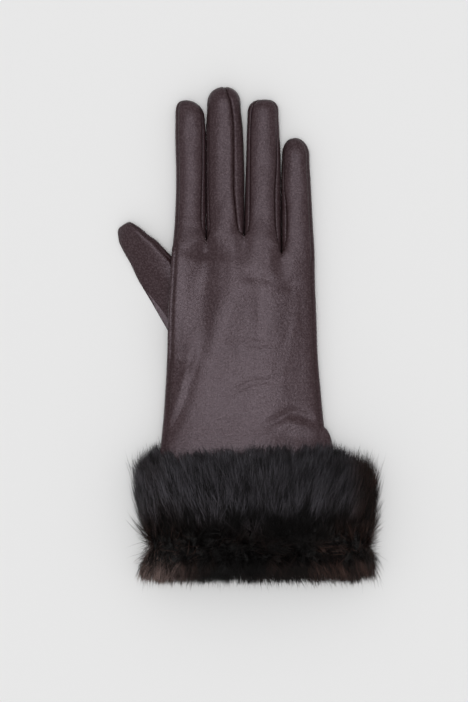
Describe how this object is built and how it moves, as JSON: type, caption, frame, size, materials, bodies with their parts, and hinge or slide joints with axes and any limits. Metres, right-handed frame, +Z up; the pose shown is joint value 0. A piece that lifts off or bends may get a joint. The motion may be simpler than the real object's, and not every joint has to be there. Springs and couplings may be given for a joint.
{
  "type": "fur-trimmed leather glove",
  "caption": "Right-hand dress glove of thin dark leather with forked finger side strips, a folded-in thumb and a deep fur cuff, lying palm down.",
  "frame": {"origin": "middle of the palm, on its flat underside that rests on the surface", "axes": "+Z up out of the back of the hand, +Y from the cuff to the fingertips, +X from the thumb's side to the little finger's"},
  "size_m": [0.1514, 0.2929, 0.035],
  "materials": {
    "leather": "smooth satin nappa, dark aubergine brown",
    "fur": "deep soft fur, nearly black with a cool sheen"
  },
  "bodies": {
    "root": {"trank": "leather", "thumb": "leather", "fourchette_index_middle": "leather", "fourchette_middle_ring": "leather", "fourchette_ring_little": "leather", "side_gusset": "leather", "fur_cuff": "fur"}
  },
  "joints": []
}
